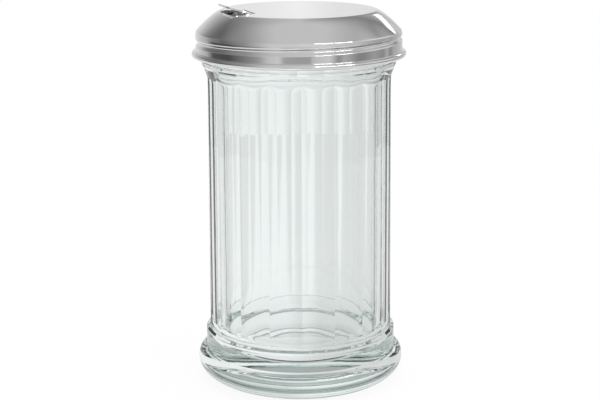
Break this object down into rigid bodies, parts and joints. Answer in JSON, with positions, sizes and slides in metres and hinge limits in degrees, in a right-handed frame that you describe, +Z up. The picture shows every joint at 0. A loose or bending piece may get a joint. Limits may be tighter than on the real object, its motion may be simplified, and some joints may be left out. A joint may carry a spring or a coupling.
{
  "type": "sugar dispenser",
  "caption": "Clear faceted glass jar with a pressed foot ring and a screwed polished lid, whose small hinged flap covers a fan-shaped pouring hole.",
  "frame": {"origin": "centre of the jar's foot, on the plane that it stands on", "axes": "+Z up along the jar's axis; the pouring hole and its flap point to -X, turned 20 degrees towards -Y"},
  "size_m": [0.082, 0.082, 0.148],
  "materials": {
    "pressed_glass": "clear pressed soda-lime glass, slightly green, fire polished",
    "polished_lid": "deep-drawn stainless sheet, polished and bright",
    "plain_steel": "plain cold-rolled stainless, as pressed",
    "liner_plastic": "off-white polyethylene"
  },
  "bodies": {
    "jar": {"glass_jar": "pressed_glass"},
    "liner": {"rim_liner": "liner_plastic"},
    "lid": {"lid_shell": "polished_lid", "hinge_bracket": "plain_steel", "hinge_pin": "plain_steel"},
    "flap": {"pour_flap": "polished_lid"}
  },
  "joints": [
    {"name": "lid_rise", "type": "slide", "parent": "jar", "child": "liner", "axis": [0, 0, 1], "range_m": [0, 0.01261]},
    {"name": "lid_turn", "type": "hinge", "parent": "liner", "child": "lid", "pos_m": [0, 0, 0.13], "axis": [0, 0, 1], "range_deg": [0, 1080]},
    {"name": "flap_hinge", "type": "hinge", "parent": "lid", "child": "flap", "pos_m": [-0.02142, -0.0078, 0.1427], "axis": [-0.342, 0.9397, 0], "range_deg": [0, 70]}
  ],
  "couplings": [
    {"joint": "lid_rise", "follows": "lid_turn", "m_per_rad": 0.00066845}
  ]
}
